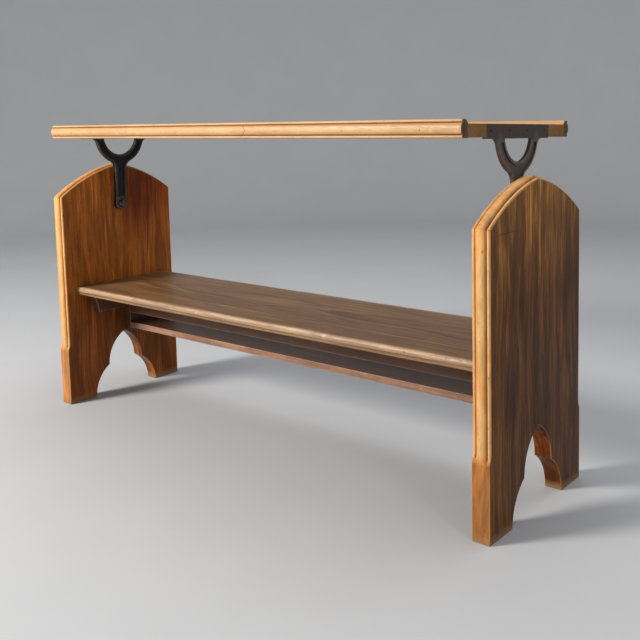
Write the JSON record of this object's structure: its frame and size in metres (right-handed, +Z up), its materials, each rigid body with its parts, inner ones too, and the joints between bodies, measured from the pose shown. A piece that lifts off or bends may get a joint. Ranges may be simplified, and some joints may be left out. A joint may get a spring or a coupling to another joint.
{
  "type": "reversible-back church pew",
  "caption": "Wooden pew with arched end panels on gothic-cut feet, a plank seat over a book shelf, and a flip-over back board carried on iron Y brackets.",
  "frame": {"origin": "on the floor, midway between the two end panels and midway between their front and rear feet", "axes": "+X along the pew to the right-hand end panel, +Y to the rear, +Z up"},
  "size_m": [1.806, 0.5818, 1.0367],
  "materials": {
    "panel_wood": "aged satin varnish, worn to honey on the mouldings",
    "seat_wood": "aged satin varnish, rubbed grey-brown at the front",
    "under_wood": "thin old varnish",
    "back_wood": "aged satin varnish",
    "moulding_wood": "aged satin varnish, worn to honey",
    "bracket_iron": "black japanned casting, rubbed brown",
    "bolt_iron": "worn bare steel on the crown",
    "screw_iron": "dull, browned"
  },
  "bodies": {
    "frame": {"end_panel_left": "panel_wood", "end_panel_right": "panel_wood", "seat_board_front": "seat_wood", "seat_board_rear": "seat_wood", "seat_rail": "under_wood", "shelf_board": "under_wood", "seat_cleat_left": "under_wood", "seat_cleat_right": "under_wood", "shelf_hanger_left": "under_wood", "shelf_hanger_right": "under_wood", "pivot_washer_left": "bracket_iron", "pivot_washer_right": "bracket_iron", "pivot_bolt_left": "bolt_iron", "pivot_bolt_right": "bolt_iron", "cleat_screws_left": "screw_iron", "cleat_screws_right": "screw_iron"},
    "back": {"back_board": "back_wood", "back_moulding_front": "moulding_wood", "back_moulding_rear": "moulding_wood", "back_bracket_left": "bracket_iron", "back_bracket_right": "bracket_iron", "bracket_screws_left": "screw_iron", "bracket_screws_right": "screw_iron"}
  },
  "joints": [
    {"name": "back_swing", "type": "hinge", "parent": "frame", "child": "back", "pos_m": [0, 0, 0.7324], "axis": [1, 0, 0], "range_deg": [-96.5, 99.9]}
  ]
}
